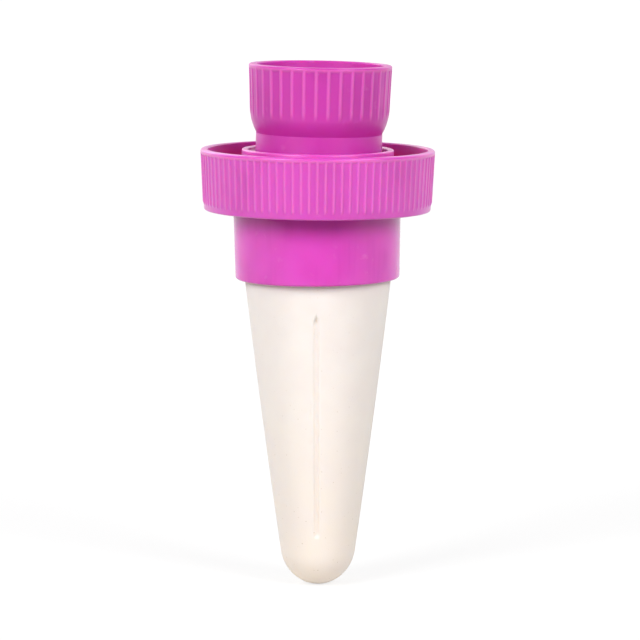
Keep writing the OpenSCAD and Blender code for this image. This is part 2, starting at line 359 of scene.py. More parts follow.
@dataclass(frozen=True)
class SeamGrooves:
    """Straight V grooves down the cone's side, and the small nicks beside the front one."""

    count: int = 2
    width: float = 1.7
    depth: float = 0.46
    # Half the width of its rounded bottom, as a share of the width
    bottom: float = 0.12
    low: float = 12.6
    high: float = 59.6
    # How long its ends are, how narrow the upper one gets as a share of the width, and how blunt
    low_end: float = 0.7
    high_end: float = 1.9
    point: float = 0.15
    blunt: float = 0.4
    turn_deg: float = -1.4
    # The cone's radius at the height of zero, and how much it grows in each millimetre
    radius: float = 7.1
    growth: float = 0.131
    # How far beside each groove the mesh is fine, and how many columns lie there
    close: Pair = (-1.6, 1.1)
    close_columns: int = 56
    # Angle from the front in degrees, height, half width, half height and depth of each nick
    nicks: tuple[tuple[float, float, float, float, float], ...] = (
        (-1.4, 60.4, 0.16, 0.6, 0.22),
        (-8.0, 39.6, 0.22, 0.9, 0.16),
        (-7.2, 41.4, 0.14, 0.5, 0.10),
        (-7.6, 33.0, 0.30, 0.35, 0.14),
        (9.5, 58.6, 0.20, 0.25, 0.10),
    )

    @property
    def first(self) -> float:
        """The angle of the front groove in radians."""
        return math.radians(self.turn_deg + FRONT_DEG)

    def __call__(self, angle: np.ndarray, z: np.ndarray) -> np.ndarray:
        """Gives the depth of the grooves and nicks.

        Args:
            angle: Angles about the axis in radians.
            z: Heights in millimetres.

        Returns:
            Outward shift in millimetres, zero or less.
        """
        radius = self.radius + self.growth * z
        point = smooth(-self.high - self.high_end, -self.high, -z)
        ends = smooth(self.low - self.low_end, self.low, z) * point
        turn = from_nearest(angle, self.first, self.count)
        away = np.abs(turn) * radius / np.maximum(point, self.point)
        floor = 1.0 - smooth(self.width * self.bottom, self.width / 2, away)
        sunk = -self.depth * floor * ends**self.blunt
        for turn_deg, height, half_w, half_h, depth in self.nicks:
            side = from_nearest(angle, math.radians(turn_deg + FRONT_DEG), 1)
            spread = (side * radius / half_w) ** 2 + ((z - height) / half_h) ** 2
            sunk = sunk - depth * np.exp(-spread)
        return sunk

    def columns(self, plain: int) -> np.ndarray:
        """Places mesh columns close together at the grooves and the nicks.

        Args:
            plain: How many evenly spaced columns lie round the rest.

        Returns:
            Angles in radians.
        """
        even = np.linspace(0.0, math.tau, plain, endpoint=False)
        close = np.linspace(*self.close, self.close_columns) / self.radius
        firsts = [self.first + math.tau * i / self.count for i in range(self.count)]
        return np.concatenate([even, *(first + close for first in firsts)])


@dataclass(frozen=True)
class Stretch:
    """Part of an outline, with what is raised on it or sunk into it."""

    points: Sequence[Point]
    relief: Relief | None = None
    # Heights where a hollow starts and where it is at its deepest, for the inside of a hollow, which
    # gets a painted glow there
    hollow: Pair | None = None


@dataclass(frozen=True)
class Turning:
    """A closed mesh turned about the upright axis from an outline."""

    name: str
    stretches: Sequence[Stretch]
    columns: np.ndarray

    def _angles(self) -> np.ndarray:
        """Sorts the columns once round the axis, without near doubles."""
        angles = np.sort(self.columns % math.tau)
        return angles[np.diff(angles, prepend=angles[-1] - math.tau) > NEAR_ANGLE]

    def _grid(self, angles: np.ndarray) -> tuple[np.ndarray, ...]:
        """Works out the surface at each row and column.

        Args:
            angles: The columns' angles in radians.

        Returns:
            Radius and height in millimetres, the share of the rib height that stands there, and how
            deep in a hollow it lies.
        """
        radii, heights, crests, depths = [], [], [], []
        flat = 0.0 * angles[None, :]
        for stretch in self.stretches:
            r = np.array([p[0] for p in stretch.points])[:, None]
            z = np.array([p[1] for p in stretch.points])[:, None]
            shift = stretch.relief(angles[None, :], z) if stretch.relief else flat
            blank = 0.0 * z + flat
            ribbed = isinstance(stretch.relief, Ribs)
            radii.append(r + shift + flat)
            heights.append(z + flat)
            crests.append(shift / stretch.relief.height + blank if ribbed else blank)
            depths.append(smooth(*stretch.hollow, z) + blank if stretch.hollow else blank)
        return tuple(np.concatenate(rows) for rows in (radii, heights, crests, depths))

    def build(self) -> bpy.types.Object:
        """Makes the mesh object and links it to the scene.

        Returns:
            The new object, at the origin, in metres.
        """
        angles = self._angles()
        r, z, crest, hollow = self._grid(angles)
        poles = [i for i in (0, len(r) - 1) if r[i].max() < POLE_RADIUS]
        keep = [i for i in range(len(r)) if i not in poles]
        rows, cols = len(keep), len(angles)
        xyz = np.stack([r[keep] * np.cos(angles), r[keep] * np.sin(angles), z[keep]], axis=-1)
        points = [tuple(p) for p in xyz.reshape(-1, 3) * MM]
        faces: list[tuple[int, ...]] = []
        closed = not poles
        for i in range(rows if closed else rows - 1):
            low, high = i * cols, ((i + 1) % rows) * cols
            for j in range(cols):
                k = (j + 1) % cols
                faces.append((low + j, low + k, high + k, high + j))
        for pole in poles:
            points.append((0.0, 0.0, float(z[pole][0]) * MM))
            tip = len(points) - 1
            ring = 0 if pole == 0 else (rows - 1) * cols
            for j in range(cols):
                k = (j + 1) % cols
                pair = (ring + k, ring + j) if pole == 0 else (ring + j, ring + k)
                faces.append((tip, *pair))
        mesh = bpy.data.meshes.new(self.name)
        mesh.from_pydata(points, [], faces)
        for name, shares in ((CREST, crest), (HOLLOW, hollow)):
            share = mesh.attributes.new(name, "FLOAT", "POINT")
            share.data.foreach_set("value", [*shares[keep].ravel().tolist(), *(0.0 for _ in poles)])
        mesh.validate()
        mesh.shade_smooth()
        mesh.set_sharp_from_angle(angle=SHARP_ANGLE)
        return add_object(self.name, mesh)


def add_object(name: str, data: bpy.types.ID) -> bpy.types.Object:
    """Makes an object and links it to the scene.

    Args:
        name: Its name.
        data: The mesh, light or camera that it shows.

    Returns:
        The new object.
    """
    made = bpy.data.objects.new(name, data)
    bpy.context.scene.collection.objects.link(made)
    return made


def even_columns(count: int) -> np.ndarray:
    """Gives evenly spaced angles once round the axis."""
    return np.linspace(0.0, math.tau, count, endpoint=False)


def lean(piece: bpy.types.Object, degrees: float, pivot_z: float, shift: float) -> None:
    """Leans a finished mesh to the right, as the slack in its joint lets it.

    Args:
        piece: The mesh object to lean.
        degrees: How far it leans.
        pivot_z: Height of the joint's middle in millimetres.
        shift: How far it is shifted to the right in millimetres.
    """
    pivot = Matrix.Translation(Vector((0.0, 0.0, pivot_z * MM)))
    aside = Matrix.Translation(Vector((shift * MM, 0.0, 0.0)))
    turned = Matrix.Rotation(math.radians(degrees), 4, "Y")
    piece.data.transform(aside @ pivot @ turned @ pivot.inverted())


def add_node(
    tree: bpy.types.NodeTree,
    kind: str,
    settings: dict[str | int, Any] | None = None,
    links: dict[str | int, bpy.types.NodeSocket] | None = None,
    output: str | int = 0,
) -> bpy.types.NodeSocket | None:
    """Adds a shader node with its settings and links.

    Args:
        tree: The node tree to add to.
        kind: The node's Blender type name.
        settings: Values by property name, input name or input number.
        links: Output sockets by input name or number.
        output: Name or number of the output to give back.

    Returns:
        The wanted output, or nothing for a node without outputs.
    """
    node = tree.nodes.new(kind)
    for key, value in (settings or {}).items():
        if isinstance(key, int) or key in node.inputs:
            node.inputs[key].default_value = value
        else:
            setattr(node, key, value)
    for key, source in (links or {}).items():
        tree.links.new(source, node.inputs[key])
    return node.outputs[output] if node.outputs else None


def per_metre(grain_mm: float) -> float:
    """Gives the scale of a pattern whose grain has a real size."""
    return 1.0 / (grain_mm * MM)


def cleared(tree: bpy.types.NodeTree) -> Adder:
    """Empties a node tree and gives what adds nodes to it."""
    tree.nodes.clear()
    return partial(add_node, tree)


def new_material(name: str) -> tuple[bpy.types.Material, Adder]:
    """Makes an empty node material.

    Args:
        name: The material's name.

    Returns:
        The material and what adds nodes to it.
    """
    material = bpy.data.materials.new(name)
    material.use_nodes = True
    return material, cleared(material.node_tree)


@dataclass(frozen=True)
class MouldedPolypropylene:
    """Polypropylene, injection moulded in a polished tool.

    It gives the eye a strong even colour, a painted red glow in hollows for light passing through
    the thin walls, a satin gloss with pale edges, a painted highlight on the ribs, faint upright
    flow streaks in places and a few pale smudges from handling.
    """

    name: str
    colour: str
    deep_colour: str
    # Painted highlight: the ribs' crests are mixed towards this paler colour, standing in for the
    # light they catch
    rib_highlight_colour: str = "#F383D2"
    rib_highlight_share: float = 0.4
    # Painted glow in a hollow's inside: a colour standing in for light that comes in through its
    # walls, which let red through best
    painted_glow_colour: str = "#E41A98"
    smudge_colour: str = "#F0A6DA"
    ior: float = 1.49
    shine: float = 0.75
    # Share and roughness of the polished skin over the hazier pigmented plastic
    skin_share: float = 0.8
    skin_roughness: float = 0.3
    # How far light strays below the pigmented surface, in millimetres, how much of it does, and
    # how far red, green and blue stray against each other
    stray_mm: float = 1.6
    stray_share: float = 0.6
    stray_rgb: Triple = (1.0, 0.12, 0.4)
    # Width of the flow streaks and how much shorter across than along they are
    streak_mm: float = 1.3
    streak_flat: float = 0.06
    streak_share: float = 0.5
    # Sizes of the tool's finish, of the smudges and of the clouds in the pigment
    grain_mm: float = 0.22
    smudge_mm: float = 2.6
    smudge_share: float = 0.25
    cloud_mm: float = 9.0
    cloud_share: float = 0.5
    haze: Pair = (0.44, 0.56)
    bump_mm: float = 0.004
    # Noise levels between which streaks, smudges, clouds and haze come in
    streak_levels: Pair = (0.4, 0.7)
    smudge_levels: Pair = (0.6, 0.8)
    cloud_levels: Pair = (0.3, 0.75)
    haze_levels: Pair = (0.25, 0.75)

    def build(self) -> bpy.types.Material:
        """Makes the material.

        Returns:
            The finished material.
        """
        material, add = new_material(self.name)
        place = add("ShaderNodeTexCoord", output="Object")
        crest, hollow = (
            add("ShaderNodeAttribute", {"attribute_name": name}, output="Fac")
            for name in (CREST, HOLLOW)
        )
        along = add("ShaderNodeMapping", {"Scale": (1.0, 1.0, self.streak_flat)}, {"Vector": place})
        clouds, grain, streaks, marks = (
            add("ShaderNodeTexNoise", {"Scale": per_metre(size), "Detail": fine}, {"Vector": where})
            for size, fine, where in (
                (self.cloud_mm, 1.0, place),
                (self.grain_mm, 2.0, place),
                (self.streak_mm, 3.0, along),
                (self.smudge_mm, 3.0, place),
            )
        )
        in_places, streaky, marked, cloudy, sheen = (
            add(
                "ShaderNodeMapRange",
                {
                    "interpolation_type": "SMOOTHERSTEP",
                    "From Min": low,
                    "From Max": high,
                    "To Min": least,
                    "To Max": most,
                },
                {"Value": source},
            )
            for source, (low, high), (least, most) in (
                (clouds, self.streak_levels, (0.0, 1.0)),
                (streaks, self.streak_levels, (0.0, self.streak_share)),
                (marks, self.smudge_levels, (0.0, self.smudge_share)),
                (clouds, self.cloud_levels, (0.0, self.cloud_share)),
                (clouds, self.haze_levels, self.haze),
            )
        )
        flow, smudges = (
            add("ShaderNodeMath", {"operation": "MULTIPLY"}, {0: mark, 1: in_places})
            for mark in (streaky, marked)
        )
        # The ribs' painted highlight follows how far each point stands up on a rib
        painted_rib_highlight = add("ShaderNodeMath", {"operation": "MULTIPLY", 1: self.rib_highlight_share}, {0: crest})
        pigments = {UNDER: linear(self.colour), OVER: linear(self.deep_colour)}
        colour = add("ShaderNodeMix", {"data_type": "RGBA", **pigments}, {FACTOR: cloudy}, MIXED)
        # Over the pigment: flow streaks, the hollow's painted glow, the ribs' painted highlight and
        # pale smudges
        for over, share in (
            (self.deep_colour, flow),
            (self.painted_glow_colour, hollow),
            (self.rib_highlight_colour, painted_rib_highlight),
            (self.smudge_colour, smudges),
        ):
            paint = {"data_type": "RGBA", OVER: linear(over)}
            colour = add("ShaderNodeMix", paint, {FACTOR: share, UNDER: colour}, MIXED)
        ends = {"To Min": self.skin_share, "To Max": 0.0}
        skin = add("ShaderNodeMapRange", ends, {"Value": hollow})
        dull = add("ShaderNodeMath", {"operation": "ADD"}, {0: sheen, 1: smudges})
        bump = add(
            "ShaderNodeBump", {"Strength": 1.0, "Distance": self.bump_mm * MM}, {"Height": grain}
        )
        shader = add(
            "ShaderNodeBsdfPrincipled",
            {
                "IOR": self.ior,
                "Specular IOR Level": self.shine,
                "Coat Roughness": self.skin_roughness,
                "Coat IOR": self.ior,
                "Subsurface Weight": self.stray_share,
                "Subsurface Radius": self.stray_rgb,
                "Subsurface Scale": self.stray_mm * MM,
            },
            {"Base Color": colour, "Roughness": dull, "Coat Weight": skin, "Normal": bump},
        )
        add("ShaderNodeOutputMaterial", None, {"Surface": shader})
        return material


@dataclass(frozen=True)
class FiredCeramic:
    """White earthenware, slip cast and fired without a glaze.

    It gives the eye a chalky, slightly warm white with cloudy tone, a fine grain and open pores,
    which stand closer together and yellower towards the tip.
    """

    name: str = "fired_ceramic"
    colour: str = "#F2EBE6"
    warm_colour: str = "#EEE1D3"
    cool_colour: str = "#EDE3DF"
    pore_colour: str = "#C9B8A4"
    ior: float = 1.5
    shine: float = 0.25
    # How far light strays in the open clay body, in millimetres, how much of it does, and how far
    # red, green and blue stray against each other
    stray_mm: float = 2.5
    stray_share: float = 0.6
    stray_rgb: Triple = (1.0, 0.9, 0.75)
    roughness: Pair = (0.82, 0.95)
    # Size of the cloudy tone, of the grain and of the pores' spacing, and the largest pore's share
    # of that spacing
    cloud_mm: float = 8.0
    grain_mm: float = 0.20
    pore_mm: float = 0.85
    pore_reach: float = 0.2
    # Noise levels between which the clouds and the grain's roughness come in, and which cells of
    # the pore pattern hold a pore, from a small one to the largest
    cloud_levels: Pair = (0.35, 0.7)
    grain_levels: Pair = (0.3, 0.7)
    pore_levels: Pair = (0.55, 1.0)
    # How deep the pores are sunk, and how deep the grain is against them
    bump_mm: float = 0.05
    grain_share: float = 0.5
    # How strongly the pores are stained, at the mouth and at the tip
    stain: Pair = (0.25, 0.8)
    # Shares of the warm colour at the tip and of the cool colour in the clouds
    warm_share: float = 0.75
    cool_share: float = 0.6
    # Heights between which the tone goes from the tip's to the mouth's
    tone_low_mm: float = 2.0
    tone_high_mm: float = 52.0

    def build(self) -> bpy.types.Material:
        """Makes the material.

        Returns:
            The finished material.
        """
        material, add = new_material(self.name)
        place = add("ShaderNodeTexCoord", output="Object")
        height = add("ShaderNodeSeparateXYZ", None, {"Vector": place}, "Z")
        clouds, grain = (
            add("ShaderNodeTexNoise", {"Scale": per_metre(size), "Detail": 3.0}, {"Vector": place})
            for size in (self.cloud_mm, self.grain_mm)
        )
        nearness, lot = (
            add("ShaderNodeTexVoronoi", {"Scale": per_metre(self.pore_mm)}, {"Vector": place}, name)
            for name in ("Distance", "Color")
        )
        pick = add("ShaderNodeSeparateColor", None, {"Color": lot}, "Red")
        lowness, reach, patches, dry = (
            add(
                "ShaderNodeMapRange",
                {"From Min": low, "From Max": high, "To Min": start, "To Max": end},
                {"Value": source},
            )
            for source, (low, high), (start, end) in (
                (height, (self.tone_low_mm * MM, self.tone_high_mm * MM), (1.0, 0.0)),
                (pick, self.pore_levels, (0.0, self.pore_reach)),
                (clouds, self.cloud_levels, (0.0, self.cool_share)),
                (grain, self.grain_levels, self.roughness),
            )
        )
        inside = add("ShaderNodeMath", {"operation": "SUBTRACT"}, {0: reach, 1: nearness})
        pores = add("ShaderNodeMapRange", {"From Max": self.pore_reach / 2}, {"Value": inside})
        strengths = {"To Min": self.stain[0], "To Max": self.stain[1]}
        strength = add("ShaderNodeMapRange", strengths, {"Value": lowness})
        stain = add("ShaderNodeMath", {"operation": "MULTIPLY"}, {0: pores, 1: strength})
        warmth, sand = (
            add("ShaderNodeMath", {"operation": "MULTIPLY", 1: share}, {0: source})
            for source, share in ((lowness, self.warm_share), (grain, self.grain_share))
        )
        tones = {UNDER: linear(self.colour), OVER: linear(self.warm_colour)}
        colour = add("ShaderNodeMix", {"data_type": "RGBA", **tones}, {FACTOR: warmth}, MIXED)
        for over, share in ((self.cool_colour, patches), (self.pore_colour, stain)):
            paint = {"data_type": "RGBA", OVER: linear(over)}
            colour = add("ShaderNodeMix", paint, {FACTOR: share, UNDER: colour}, MIXED)
        skin = add("ShaderNodeMath", {"operation": "SUBTRACT"}, {0: sand, 1: stain})
        bump = add(
            "ShaderNodeBump", {"Strength": 1.0, "Distance": self.bump_mm * MM}, {"Height": skin}
        )
        shader = add(
            "ShaderNodeBsdfPrincipled",
            {
                "IOR": self.ior,
                "Specular IOR Level": self.shine,
                "Subsurface Weight": self.stray_share,
                "Subsurface Radius": self.stray_rgb,
                "Subsurface Scale": self.stray_mm * MM,
            },
            {"Base Color": colour, "Roughness": dry, "Normal": bump},
        )
        add("ShaderNodeOutputMaterial", None, {"Surface": shader})
        return material


@dataclass(frozen=True)
class SoftSeal:
    """A soft rubbery material, either moulded silicone rubber or set sealant.

    It gives the eye a milky, even tone with a dull sheen and a trace of dust.
    """

    name: str
    colour: str
    dust_colour: str
    roughness: Pair
    ior: float = 1.41
    # How far light strays in it, in millimetres, how much of it does, and how far red, green and
    # blue stray against each other
    stray_mm: float = 1.2
    stray_share: float = 0.3
    stray_rgb: Triple = (1.0, 0.9, 0.8)
    dust_mm: float = 0.7
    dust_share: float = 0.7
    bump_mm: float = 0.012
    # Noise levels between which the dust's colour and its roughness come in
    dust_levels: Pair = (0.45, 0.75)
    rough_levels: Pair = (0.3, 0.7)

    def build(self) -> bpy.types.Material:
        """Makes the material.

        Returns:
            The finished material.
        """
        material, add = new_material(self.name)
        place = add("ShaderNodeTexCoord", output="Object")
        specks = {"Scale": per_metre(self.dust_mm), "Detail": 4.0}
        dust = add("ShaderNodeTexNoise", specks, {"Vector": place})
        dusty, dull = (
            add(
                "ShaderNodeMapRange",
                {"From Min": low, "From Max": high, "To Min": start, "To Max": end},
                {"Value": dust},
            )
            for (low, high), (start, end) in (
                (self.dust_levels, (0.0, self.dust_share)),
                (self.rough_levels, self.roughness),
            )
        )
        tones = {UNDER: linear(self.colour), OVER: linear(self.dust_colour)}
        colour = add("ShaderNodeMix", {"data_type": "RGBA", **tones}, {FACTOR: dusty}, MIXED)
        bump = add(
            "ShaderNodeBump", {"Strength": 1.0, "Distance": self.bump_mm * MM}, {"Height": dust}
        )
        shader = add(
            "ShaderNodeBsdfPrincipled",
            {
                "IOR": self.ior,
                "Subsurface Weight": self.stray_share,
                "Subsurface Radius": self.stray_rgb,
                "Subsurface Scale": self.stray_mm * MM,
            },
            {"Base Color": colour, "Roughness": dull, "Normal": bump},
        )
        add("ShaderNodeOutputMaterial", None, {"Surface": shader})
        return material


@dataclass
class Finishes:
    """The finished materials, one for each look."""

    made: dict[Look, bpy.types.Material] = field(default_factory=dict)

    def build(self) -> None:
        """Makes every material once."""
        finishes = {
            Look.BISQUE: FiredCeramic(),
            Look.COLLAR_PLASTIC: MouldedPolypropylene(
                "polypropylene_collar", "#DD4AC2", "#CF3CB3", shine=0.25, skin_roughness=0.1
            ),
            Look.RING_PLASTIC: MouldedPolypropylene("polypropylene_ring", "#DA45C1", "#CD38B2"),
            Look.SOCKET_PLASTIC: MouldedPolypropylene(
                "polypropylene_socket", "#CB33AE", "#BE29A2", skin_share=0.5, shine=0.5
            ),
            Look.SILICONE: SoftSeal("silicone_rubber", "#D6D5CF", "#BFBDB5", (0.38, 0.55)),
            Look.BOND: SoftSeal("neutral_sealant", "#E9E4DC", "#D8D0C4", (0.5, 0.7)),
        }
        self.made = {look: finish.build() for look, finish in finishes.items()}

    def dress(self, piece: bpy.types.Object, look: Look) -> None:
        """Puts a finish on a piece.

        Args:
            piece: The mesh object to dress.
            look: The finish to wear.
        """
        piece.data.materials.clear()
        piece.data.materials.append(self.made[look])

    def finish(
        self, piece: bpy.types.Object, look: Look, body: str, node: str
    ) -> bpy.types.Object:
        """Dresses a made piece and hands it over to the frame in place of its plain solid.

        Args:
            piece: The mesh object.
            look: The finish to wear.
            body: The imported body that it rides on.
            node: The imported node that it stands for.

        Returns:
            The same piece.
        """
        self.dress(piece, look)
        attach(piece, body)
        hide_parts(node)
        return piece


@dataclass(frozen=True)
class Span:
    """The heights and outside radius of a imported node, in millimetres."""

    low: float
    high: float
    radius: float

    @classmethod
    def of(cls, node: str) -> Span:
        """Reads a node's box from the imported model.

        Args:
            node: The node's name.

        Returns:
            Its lowest and highest height and its greatest radius.
        """
        low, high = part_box(node)
        return cls(low.z / MM, high.z / MM, (high.x - low.x) / 2 / MM)


@dataclass(frozen=True)
class Fits:
    """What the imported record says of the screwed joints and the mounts, in millimetres."""

    ring_thread: ThreadForm
    socket_thread: ThreadForm
    bottle_bore: float
    soil_stop: float

    @classmethod
    def of(cls, record: dict[str, Any]) -> Fits:
        """Reads the couplings and the mounts.

        Args:
            record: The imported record.

        Returns:
            Both joint threads, the bottle bore's radius and the height of the ring's underside.
        """
        ratios = {c["joint"]: c["ratio"] for c in record["behaviour"]["couplings"]}
        mounts = {m["name"]: m for m in record["mounts"]}
        ring, socket = (ratios[lift] * math.tau / MM for lift in ("ring_lift", "socket_lift"))
        return cls(
            ring_thread=ThreadForm(ring, RING_THREAD_FOOT * ring, THREAD_CREST * ring),
            socket_thread=ThreadForm(socket, SOCKET_THREAD_FOOT * socket, THREAD_CREST * socket),
            bottle_bore=mounts["bottle_socket_28"]["dims"]["r_mm"],
            soil_stop=mounts["soil_stop"]["pos_m"][2] / MM,
        )


@dataclass
class CeramicCone:
    """The porous cone: a hollow, slightly bowed taper with a rounded tip and seam grooves."""

    finishes: Finishes
    collar: Span
    span: Span
    tip_r: float = 8.25
    tip_h: float = 8.8
    bow: float = 0.18
    wall: float = 3.2
    floor: float = 4.2
    seat_step: float = 0.1
    rim_round: float = 0.45
    row: float = 0.45
    # Chords of the tip, of the water space's floor and of the rim's roundings
    tip_steps: int = 20
    floor_steps: int = 14
    rim_steps: int = 5
    cavity_row: float = 6.0
    plain_columns: int = 240

    def _outside(self) -> list[Point]:
        """Makes the tip and the bowed side.

        Returns:
            Points from the bottom of the tip up to the collar's lower edge.
        """
        mouth = self.collar.low
        slope = (self.span.radius - self.tip_r) / (mouth - self.tip_h)
        end = math.atan(slope * self.tip_h / self.tip_r)
        turns = [i / self.tip_steps for i in range(self.tip_steps + 1)]
        tip = [math.pi / 2 - (math.pi / 2 - end) * turn for turn in turns]
        outline = [(self.tip_r * math.cos(t), self.tip_h * (1 - math.sin(t))) for t in tip]
        start = outline[-1]
        count = math.ceil((mouth - start[1]) / self.row)
        for i in range(1, count + 1):
            t = i / count
            bowed = start[0] + (self.span.radius - start[0]) * t + 4 * self.bow * t * (1 - t)
            outline.append((bowed, start[1] + (mouth - start[1]) * t))
        outline[0] = (0.0, 0.0)
        return outline

    def _inside(self, seat: float) -> list[Point]:
        """Makes the water space.

        Args:
            seat: Outside radius of the cone's plain end in the collar.

        Returns:
            Points from the collar's lower edge down to the middle of the floor.
        """
        tip = self.tip_r - self.wall
        mouth = seat - self.wall
        slope = math.degrees(math.atan((mouth - tip) / (self.collar.low - self.tip_h)))
        floor = arc((0.0, self.floor + tip), tip, -slope, -90.0, self.floor_steps)
        floor[-1] = (0.0, self.floor)
        return run((mouth, self.collar.low), floor[0], self.cavity_row)[:-1] + floor

    def build(self) -> bpy.types.Object:
        """Makes the cone.

        Returns:
            The dressed cone.
        """
        grooves = SeamGrooves()
        seat = self.span.radius - self.seat_step
        top, r = self.span.high, self.rim_round
        rim = arc((seat - r, top - r), r, 0.0, 90.0, self.rim_steps)
        inner_rim = arc((seat - self.wall + r, top - r), r, 90.0, 180.0, self.rim_steps)
        stretches = [
            Stretch(self._outside(), grooves),
            Stretch([(seat, self.collar.low + self.seat_step)]),
            Stretch(rim + inner_rim),
            Stretch(self._inside(seat)),
        ]
        piece = Turning("fired_cone", stretches, grooves.columns(self.plain_columns)).build()
        return self.finishes.finish(piece, Look.BISQUE, "cone", "ceramic_cone")


@dataclass
class ConeCollar:
    """The smooth collar: a skirt over the cone, a web and a screwed socket for the ring."""

    finishes: Finishes
    fits: Fits
    span: Span
    gasket: Span
    seat: float
    bond: float = 0.3
    wall: float = 1.75
    edge: float = 0.6
    web: float = 1.6
    socket_wall: float = 1.7
    passage: float = 10.0
    bevel: float = 0.3
    thread: Thread = Thread(Hand.INWARD, depth=0.8, start=1.1, turns=1.6)
    # Distances between mesh rows on the side and on the thread
    side_row: float = 1.2
    thread_row: float = 0.13
    plain_columns: int = 300
    lean_deg: float = -0.4
    shift: float = -0.08

    def build(self) -> bpy.types.Object:
        """Makes the collar with the thread in its upper socket.

        Returns:
            The dressed collar.
        """
        bore = self.seat + self.bond
        foot, top = bore + self.wall, self.span.radius
        low, high, web_top = self.span.low, self.span.high, self.gasket.low
        socket = top - self.socket_wall
        b, e = self.bevel, self.edge
        thread = self.thread.on(web_top, self.fits.ring_thread)
        under_web = web_top - self.web
        stretches = [
            Stretch(arc((bore + b, low + b), b, 180.0, 270.0, steps=4)),
            Stretch(arc((foot - e, low + e), e, -90.0, 0.0, steps=12)),
            Stretch(run((foot, low + e), (top, high - b), self.side_row)[1:]),
            Stretch(arc((top - b, high - b), b, 0.0, 90.0, steps=5)[1:]),
            Stretch([(socket + b, high)]),
            Stretch(run((socket, high - b), (socket, web_top), self.thread_row), thread),
            Stretch([(self.passage, web_top), (self.passage, under_web), (bore, under_web)]),
        ]
        piece = Turning("screwed_collar", stretches, even_columns(self.plain_columns)).build()
        lean(piece, self.lean_deg, low, self.shift)
        return self.finishes.finish(piece, Look.COLLAR_PLASTIC, "cone", "cone_collar")


@dataclass
class BottleRing:
    """The ribbed ring: a spigot below, a channel for a wide neck and an inner screwed ring."""

    finishes: Finishes
    fits: Fits
    span: Span
    washer: Span
    collar: Span
    # Outside radii of the spigot below and of the socket's neck in the middle
    spigot: float
    neck: float
    rim_gap: float = 0.15
    rim_side_gap: float = 0.3
    wall: float = 1.55
    draft: float = 0.65
    bore_draft: float = 0.3
    edge: float = 0.4
    corner: float = 0.5
    rim_round: float = 0.35
    outer_round: float = 0.6
    thread_room: float = 1.5
    inner_wall: float = 1.3
    spigot_wall: float = 1.8
    passage: float = 10.0
    bevel: float = 0.3
    ribs: Ribs = Ribs(
        count=90,
        height=0.21,
        crest=0.16,
        foot=0.8,
        low=1.0,
        band=1.05,
        rise=1.0,
        lip=0.3,
        first=math.radians(FRONT_DEG),
    )
    inner_thread: Thread = Thread(Hand.INWARD, depth=0.95, start=2.2, turns=2.0, first=math.pi)
    spigot_thread: Thread = Thread(Hand.OUTWARD, depth=0.8, start=1.1, turns=1.3)
    wide_form: ThreadForm = ThreadForm(pitch=4.23, foot=2.0, crest=0.8)
    wide_thread: Thread = Thread(Hand.INWARD, depth=1.0, start=1.4, turns=1.1, first=0.6)
    # Distances between mesh rows on the spigot and in the channel and the bore
    spigot_row: float = 0.13
    thread_row: float = 0.24
    plain_columns: int = 2
    # How far below the rim the hollow's painted glow starts and is strongest
    painted_glow_depths: Pair = (0.4, 3.6)
    lean_deg: float = 0.5
    shift: float = -0.12

    def _wall(self, z: float) -> float:
        """Gives the outside radius between the ribs.

        Args:
            z: Height in millimetres.

        Returns:
            Radius in millimetres.
        """
        share = (self.span.high - z) / (self.span.high - self.fits.soil_stop)
        return self.span.radius - self.draft * share - self.ribs.height

    def build(self) -> bpy.types.Object:
        """Makes the ring with its ribs and its three threads.

        Returns:
            The dressed ring.
        """
        under, rim = self.fits.soil_stop, self.span.high
        end, floor = self.span.low, self.washer.low
        nest, nest_r = self.collar.high + self.rim_gap, self.collar.radius + self.rim_side_gap
        bore = self.span.radius - self.wall
        bore_foot = bore - self.bore_draft
        inner_bore = self.neck + self.thread_room
        inner_out = inner_bore + self.inner_wall
        r, o, e, c, b = self.rim_round, self.outer_round, self.edge, self.corner, self.bevel
        ribs = self.ribs.on(self.span.radius, under, rim)
        hollow = (rim - self.painted_glow_depths[0], rim - self.painted_glow_depths[1])
        wide = self.wide_thread.on(floor, self.wide_form)
        inner = self.inner_thread.on(floor, self.fits.socket_thread)
        spigot = self.spigot_thread.on(end, self.fits.ring_thread)
        spigot_bore = self.spigot - self.spigot_wall
        stretches = [
            Stretch([(self.passage, under), (spigot_bore, under)]),
            Stretch(arc((spigot_bore + b, end + b), b, 180.0, 270.0, steps=3)),
            Stretch(arc((self.spigot - b, end + b), b, -90.0, 0.0, steps=3)),
            Stretch(run((self.spigot, end + b), (self.spigot, nest), self.spigot_row)[1:], spigot),
            Stretch([(nest_r, nest), (nest_r, under)]),
            Stretch(arc((self._wall(under + e) - e, under + e), e, -90.0, 0.0, steps=12)),
            Stretch([(self._wall(z), z) for z in ribs.rows(under + e, rim - o)[1:]], ribs),
            Stretch(arc((self.span.radius - o, rim - o), o, 0.0, 90.0, steps=8)[1:]),
            Stretch(arc((bore + r, rim - r), r, 90.0, 180.0, steps=6)),
            Stretch(
                run((bore, rim - r), (bore_foot, floor + c), self.thread_row)[1:], wide, hollow
            ),
            Stretch(arc((bore_foot - c, floor + c), c, 0.0, -90.0, steps=4)[1:], hollow=hollow),
            Stretch(arc((inner_out + c, floor + c), c, 270.0, 180.0, steps=4), hollow=hollow),
            Stretch(arc((inner_out - r, rim - r), r, 0.0, 90.0, steps=5)),
            Stretch(arc((inner_bore + r, rim - r), r, 90.0, 180.0, steps=5)),
            Stretch(run((inner_bore, rim - r), (inner_bore, floor), self.thread_row)[1:], inner),
            Stretch([(self.passage, floor)]),
        ]
        piece = Turning("ribbed_ring", stretches, ribs.columns(self.plain_columns)).build()
        lean(piece, self.lean_deg, under, self.shift)
        return self.finishes.finish(piece, Look.RING_PLASTIC, "ring", "bottle_ring")


